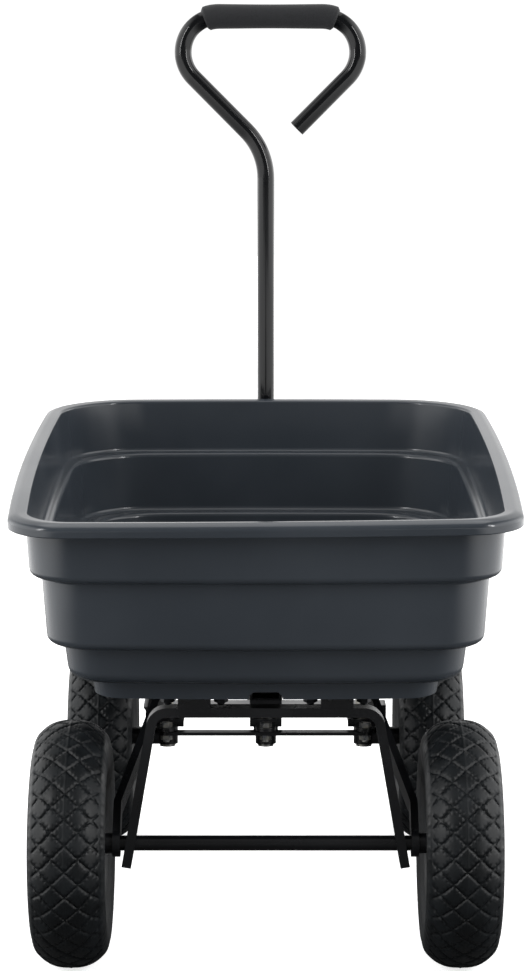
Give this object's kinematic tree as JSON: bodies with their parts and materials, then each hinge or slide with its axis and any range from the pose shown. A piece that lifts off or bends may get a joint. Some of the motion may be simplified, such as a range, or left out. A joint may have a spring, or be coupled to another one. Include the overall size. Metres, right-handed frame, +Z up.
{
  "type": "garden tipping cart",
  "caption": "Hand-pulled garden cart with a stepped plastic tub that tips about the rear axle, pneumatic wheels, drawbar steering and a folding loop handle.",
  "frame": {"origin": "on the ground, midway along the cart's length and width", "axes": "+Z up, +Y towards the pull handle, +X to the right seen from the dumping end"},
  "size_m": [0.5568, 0.905, 1.054],
  "materials": {
    "tub_plastic": "satin moulded",
    "powder_coat": "satin powder coat",
    "handle_enamel": "gloss",
    "rim_enamel": "gloss",
    "zinc_plate": "bright zinc",
    "hub_zinc": "zinc",
    "bearing_steel": "ground",
    "tyre_rubber": "moulded rubber",
    "tube_rubber": "matte",
    "pad_rubber": "matte",
    "grip_foam": "foam",
    "lever_vinyl": "dipped",
    "cap_plastic": "moulded"
  },
  "bodies": {
    "chassis": {"rear_axle": "powder_coat", "axle_sleeves": "powder_coat", "axle_washers": "zinc_plate", "axle_cotter_pins": "zinc_plate", "rear_hoop": "powder_coat", "spine": "powder_coat", "front_pedestal": "powder_coat", "front_beam": "powder_coat", "beam_caps": "cap_plastic", "kingpins": "zinc_plate", "thrust_washers": "zinc_plate", "rest_bar": "powder_coat", "rest_pads": "pad_rubber", "latch_bracket": "powder_coat", "latch_spring": "zinc_plate"},
    "tub": {"tub_shell": "tub_plastic", "hinge_hoop": "powder_coat", "hinge_saddles": "powder_coat", "striker": "powder_coat", "tub_washers": "zinc_plate", "tub_bolts": "zinc_plate"},
    "lever": {"release_lever": "powder_coat", "lever_grip": "lever_vinyl"},
    "steering": {"steering_head": "powder_coat", "drawbar": "powder_coat", "pivot_bolt": "zinc_plate"},
    "tie_bar": {"tie_bar": "powder_coat", "link_bolts": "zinc_plate"},
    "left_knuckle": {"knuckle_left": "powder_coat", "stub_washers_left": "zinc_plate", "stub_cotter_pin_left": "zinc_plate"},
    "right_knuckle": {"knuckle_right": "powder_coat", "stub_washers_right": "zinc_plate", "stub_cotter_pin_right": "zinc_plate"},
    "handle": {"handle_tube": "handle_enamel", "handle_grip": "grip_foam"},
    "rear_left_wheel": {"tyre_rear_left": "tyre_rubber", "inner_tube_rear_left": "tube_rubber", "rim_halves_rear_left": "rim_enamel", "hub_rear_left": "hub_zinc", "bearings_rear_left": "bearing_steel", "rim_bolts_rear_left": "zinc_plate"},
    "rear_right_wheel": {"tyre_rear_right": "tyre_rubber", "inner_tube_rear_right": "tube_rubber", "rim_halves_rear_right": "rim_enamel", "hub_rear_right": "hub_zinc", "bearings_rear_right": "bearing_steel", "rim_bolts_rear_right": "zinc_plate"},
    "front_left_wheel": {"tyre_front_left": "tyre_rubber", "inner_tube_front_left": "tube_rubber", "rim_halves_front_left": "rim_enamel", "hub_front_left": "hub_zinc", "bearings_front_left": "bearing_steel", "rim_bolts_front_left": "zinc_plate"},
    "front_right_wheel": {"tyre_front_right": "tyre_rubber", "inner_tube_front_right": "tube_rubber", "rim_halves_front_right": "rim_enamel", "hub_front_right": "hub_zinc", "bearings_front_right": "bearing_steel", "rim_bolts_front_right": "zinc_plate"}
  },
  "joints": [
    {"name": "tub_tip", "type": "hinge", "parent": "chassis", "child": "tub", "pos_m": [0, -0.3225, 0.13], "axis": [1, 0, 0], "range_deg": [0, 75]},
    {"name": "steer", "type": "hinge", "parent": "chassis", "child": "steering", "pos_m": [0, 0.2575, 0.14], "axis": [0, 0, 1], "range_deg": [-30, 30]},
    {"name": "left_knuckle_turn", "type": "hinge", "parent": "chassis", "child": "left_knuckle", "pos_m": [-0.124, 0.2575, 0.14], "axis": [0, 0, 1], "range_deg": [-30, 30]},
    {"name": "right_knuckle_turn", "type": "hinge", "parent": "chassis", "child": "right_knuckle", "pos_m": [0.124, 0.2575, 0.14], "axis": [0, 0, 1], "range_deg": [-30, 30]},
    {"name": "tie_bar_swing", "type": "hinge", "parent": "steering", "child": "tie_bar", "pos_m": [0, 0.2125, 0.135], "axis": [0, 0, 1], "range_deg": [-30, 30]},
    {"name": "handle_fold", "type": "hinge", "parent": "steering", "child": "handle", "pos_m": [0, 0.4345, 0.15], "axis": [-1, 0, 0], "range_deg": [0, 95]},
    {"name": "lever_release", "type": "hinge", "parent": "chassis", "child": "lever", "pos_m": [-0.058, 0.0515, 0.27315], "axis": [-1, 0, 0], "range_deg": [0, 35], "stiffness_Nm_per_rad": 0.3},
    {"name": "rear_left_spin", "type": "hinge", "parent": "chassis", "child": "rear_left_wheel", "pos_m": [-0.204, -0.3225, 0.13], "axis": [1, 0, 0], "continuous": true},
    {"name": "rear_right_spin", "type": "hinge", "parent": "chassis", "child": "rear_right_wheel", "pos_m": [0.204, -0.3225, 0.13], "axis": [1, 0, 0], "continuous": true},
    {"name": "front_left_spin", "type": "hinge", "parent": "left_knuckle", "child": "front_left_wheel", "pos_m": [-0.204, 0.2575, 0.13], "axis": [1, 0, 0], "continuous": true},
    {"name": "front_right_spin", "type": "hinge", "parent": "right_knuckle", "child": "front_right_wheel", "pos_m": [0.204, 0.2575, 0.13], "axis": [1, 0, 0], "continuous": true}
  ],
  "couplings": [
    {"joint": "left_knuckle_turn", "follows": "steer", "ratio": 1},
    {"joint": "right_knuckle_turn", "follows": "steer", "ratio": 1},
    {"joint": "tie_bar_swing", "follows": "steer", "ratio": -1}
  ]
}
